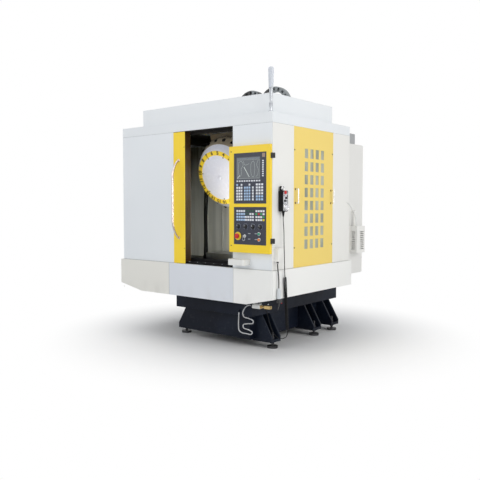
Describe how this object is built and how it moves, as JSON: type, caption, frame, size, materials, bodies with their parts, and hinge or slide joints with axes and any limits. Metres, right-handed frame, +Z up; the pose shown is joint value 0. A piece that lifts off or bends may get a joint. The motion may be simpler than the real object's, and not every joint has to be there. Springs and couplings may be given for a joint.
{
  "type": "cnc machining center",
  "caption": "Vertical machining centre with drum tool magazine, sliding door, swing-out operator panel, louvred side panel and rear electric cabinet on levelling feet.",
  "frame": {"origin": "on the floor under the spindle's centreline, midway between the front and rear levelling feet", "axes": "+X to the operator's right, +Y to the back, +Z up"},
  "size_m": [2.06, 1.9175, 2.524],
  "materials": {
    "cast_base": "painted dark navy, semi-gloss",
    "steel_foot": "machined steel",
    "cast_grey": "painted light grey",
    "cast_dark": "painted dark grey",
    "machined_iron": "ground and machined",
    "white_paint": "off-white powder coat",
    "warm_white_paint": "warm white powder coat",
    "yellow_paint": "yellow powder coat",
    "dark_paint": "dark powder coat",
    "liner_paint": "grey painted sheet",
    "bronze_paint": "brown painted casting",
    "turret_white": "gloss white cover",
    "motor_black": "black enamel",
    "bright_steel": "ground steel",
    "chromed": "polished bar",
    "panel_plastic": "dark bezel",
    "key_rubber": "moulded key mat",
    "black_plastic": "moulded black",
    "red_plastic": "gloss red",
    "green_plastic": "gloss green",
    "orange_plastic": "gloss orange",
    "white_plastic": "moulded white",
    "lamp_lens": "frosted lens",
    "cable_black": "black jacket",
    "hose_clear": "clear hose",
    "chain_plastic": "link plastic",
    "door_glass": "laminated window"
  },
  "bodies": {
    "machine": {"base_casting": "cast_base", "levelling_feet": "steel_foot", "column": "cast_grey", "axis_drives": "motor_black", "front_panels": "white_paint", "right_side_panel": "warm_white_paint", "left_side_panel": "white_paint", "back_panel": "white_paint", "roof_panel": "white_paint", "roof_cover": "white_paint", "service_panel": "yellow_paint", "service_handles": "chromed", "skirts": "warm_white_paint", "door_tracks": "dark_paint", "chip_pan": "dark_paint", "chamber_liner": "liner_paint", "coolant_hoses": "cable_black", "shelf_tray": "white_plastic", "signal_lamp": "lamp_lens", "cable_carrier": "chain_plastic", "electric_cabinet": "warm_white_paint", "transformer_box": "warm_white_paint", "valve_block": "white_plastic", "pendant_body": "black_plastic", "pendant_cable": "cable_black", "pendant_curl": "cable_black", "air_hose": "cable_black", "blow_gun": "black_plastic", "recoil_hose": "hose_clear"},
    "pendant_wheel": {"pendant_wheel": "chromed"},
    "pendant_axis_knob": {"pendant_axis_knob": "black_plastic"},
    "pendant_step_knob": {"pendant_step_knob": "black_plastic"},
    "pendant_stop": {"pendant_stop": "red_plastic"},
    "gun_trigger": {"gun_trigger": "red_plastic"},
    "cabinet_door": {"cabinet_door": "warm_white_paint"},
    "main_switch": {"main_switch": "red_plastic"},
    "saddle": {"saddle": "cast_dark"},
    "table": {"work_table": "machined_iron"},
    "head": {"head_casting": "cast_grey", "spindle_motor": "motor_black"},
    "spindle": {"spindle_shaft": "bright_steel"},
    "turret_arm": {"turret_arm": "bronze_paint"},
    "turret": {"turret_cover": "turret_white", "turret_carrier": "bronze_paint"},
    "front_door": {"door_post": "yellow_paint", "door_leaf": "white_paint", "door_window": "door_glass", "door_handle": "chromed"},
    "operator_panel": {"panel_frame": "yellow_paint", "display_unit": "panel_plastic", "control_board": "panel_plastic", "keypads": "key_rubber"},
    "estop_button": {"estop_button": "red_plastic"},
    "jog_knob": {"jog_knob": "black_plastic"},
    "feed_knob": {"feed_knob": "black_plastic"},
    "rapid_knob": {"rapid_knob": "black_plastic"},
    "spindle_knob": {"spindle_knob": "black_plastic"},
    "key_switch": {"key_switch": "bright_steel"},
    "start_button": {"start_button": "green_plastic"},
    "hold_button": {"hold_button": "orange_plastic"}
  },
  "joints": [
    {"name": "y_axis", "type": "slide", "parent": "machine", "child": "saddle", "axis": [0, 1, 0], "range_m": [-0.22, 0.18]},
    {"name": "x_axis", "type": "slide", "parent": "saddle", "child": "table", "axis": [1, 0, 0], "range_m": [-0.3, 0.3]},
    {"name": "z_axis", "type": "slide", "parent": "machine", "child": "head", "axis": [0, 0, 1], "range_m": [-0.3, 0]},
    {"name": "spindle_spin", "type": "hinge", "parent": "head", "child": "spindle", "pos_m": [0, -0.25, 1.4], "axis": [0, 0, -1], "continuous": true},
    {"name": "turret_swing", "type": "hinge", "parent": "machine", "child": "turret_arm", "pos_m": [0, 0.06, 1.95], "axis": [1, 0, 0], "range_deg": [-6.1, 0]},
    {"name": "turret_spin", "type": "hinge", "parent": "turret_arm", "child": "turret", "pos_m": [0, -0.645, 1.599], "axis": [0, -0.9511, -0.309], "continuous": true},
    {"name": "door_slide", "type": "slide", "parent": "machine", "child": "front_door", "axis": [1, 0, 0], "range_m": [0, 0.6]},
    {"name": "panel_hinge", "type": "hinge", "parent": "machine", "child": "operator_panel", "pos_m": [0.779, -0.861, 1.385], "axis": [0, 0, 1], "range_deg": [0, 95]},
    {"name": "estop_push", "type": "slide", "parent": "operator_panel", "child": "estop_button", "axis": [0, 1, 0], "range_m": [0, 0.0045], "stiffness_N_per_m": 900},
    {"name": "jog_turn", "type": "hinge", "parent": "operator_panel", "child": "jog_knob", "pos_m": [0.419, -0.873, 1.144], "axis": [0, -1, 0], "range_deg": [-120, 120]},
    {"name": "feed_turn", "type": "hinge", "parent": "operator_panel", "child": "feed_knob", "pos_m": [0.502, -0.873, 1.144], "axis": [0, -1, 0], "range_deg": [-135, 135]},
    {"name": "rapid_turn", "type": "hinge", "parent": "operator_panel", "child": "rapid_knob", "pos_m": [0.585, -0.873, 1.144], "axis": [0, -1, 0], "range_deg": [-60, 60]},
    {"name": "spindle_turn", "type": "hinge", "parent": "operator_panel", "child": "spindle_knob", "pos_m": [0.666, -0.873, 1.144], "axis": [0, -1, 0], "range_deg": [-105, 105]},
    {"name": "key_turn", "type": "hinge", "parent": "operator_panel", "child": "key_switch", "pos_m": [0.494, -0.873, 1.058], "axis": [0, -1, 0], "range_deg": [-45, 45]},
    {"name": "start_push", "type": "slide", "parent": "operator_panel", "child": "start_button", "axis": [0, 1, 0], "range_m": [0, 0.004], "stiffness_N_per_m": 400},
    {"name": "hold_push", "type": "slide", "parent": "operator_panel", "child": "hold_button", "axis": [0, 1, 0], "range_m": [0, 0.004], "stiffness_N_per_m": 400},
    {"name": "handwheel_spin", "type": "hinge", "parent": "machine", "child": "pendant_wheel", "pos_m": [0.824, -0.717, 1.318], "axis": [1, 0, 0], "continuous": true},
    {"name": "axis_select", "type": "hinge", "parent": "machine", "child": "pendant_axis_knob", "pos_m": [0.824, -0.715, 1.398], "axis": [1, 0, 0], "range_deg": [-60, 60]},
    {"name": "step_select", "type": "hinge", "parent": "machine", "child": "pendant_step_knob", "pos_m": [0.824, -0.732, 1.372], "axis": [1, 0, 0], "range_deg": [-45, 45]},
    {"name": "pendant_stop_push", "type": "slide", "parent": "machine", "child": "pendant_stop", "axis": [-1, 0, 0], "range_m": [0, 0.0035], "stiffness_N_per_m": 600},
    {"name": "trigger_pull", "type": "hinge", "parent": "machine", "child": "gun_trigger", "pos_m": [0.814, -0.769, 0.51], "axis": [1, 0, 0], "range_deg": [-12, 0], "stiffness_Nm_per_rad": 0.2},
    {"name": "cabinet_hinge", "type": "hinge", "parent": "machine", "child": "cabinet_door", "pos_m": [-0.486, 0.933, 1.3], "axis": [0, 0, 1], "range_deg": [0, 110]},
    {"name": "main_switch_turn", "type": "hinge", "parent": "cabinet_door", "child": "main_switch", "pos_m": [0.61, 0.94, 1.5], "axis": [0, -1, 0], "range_deg": [0, 90]}
  ],
  "couplings": [
    {"joint": "turret_swing", "follows": "z_axis", "rad_per_m": 0.349}
  ]
}
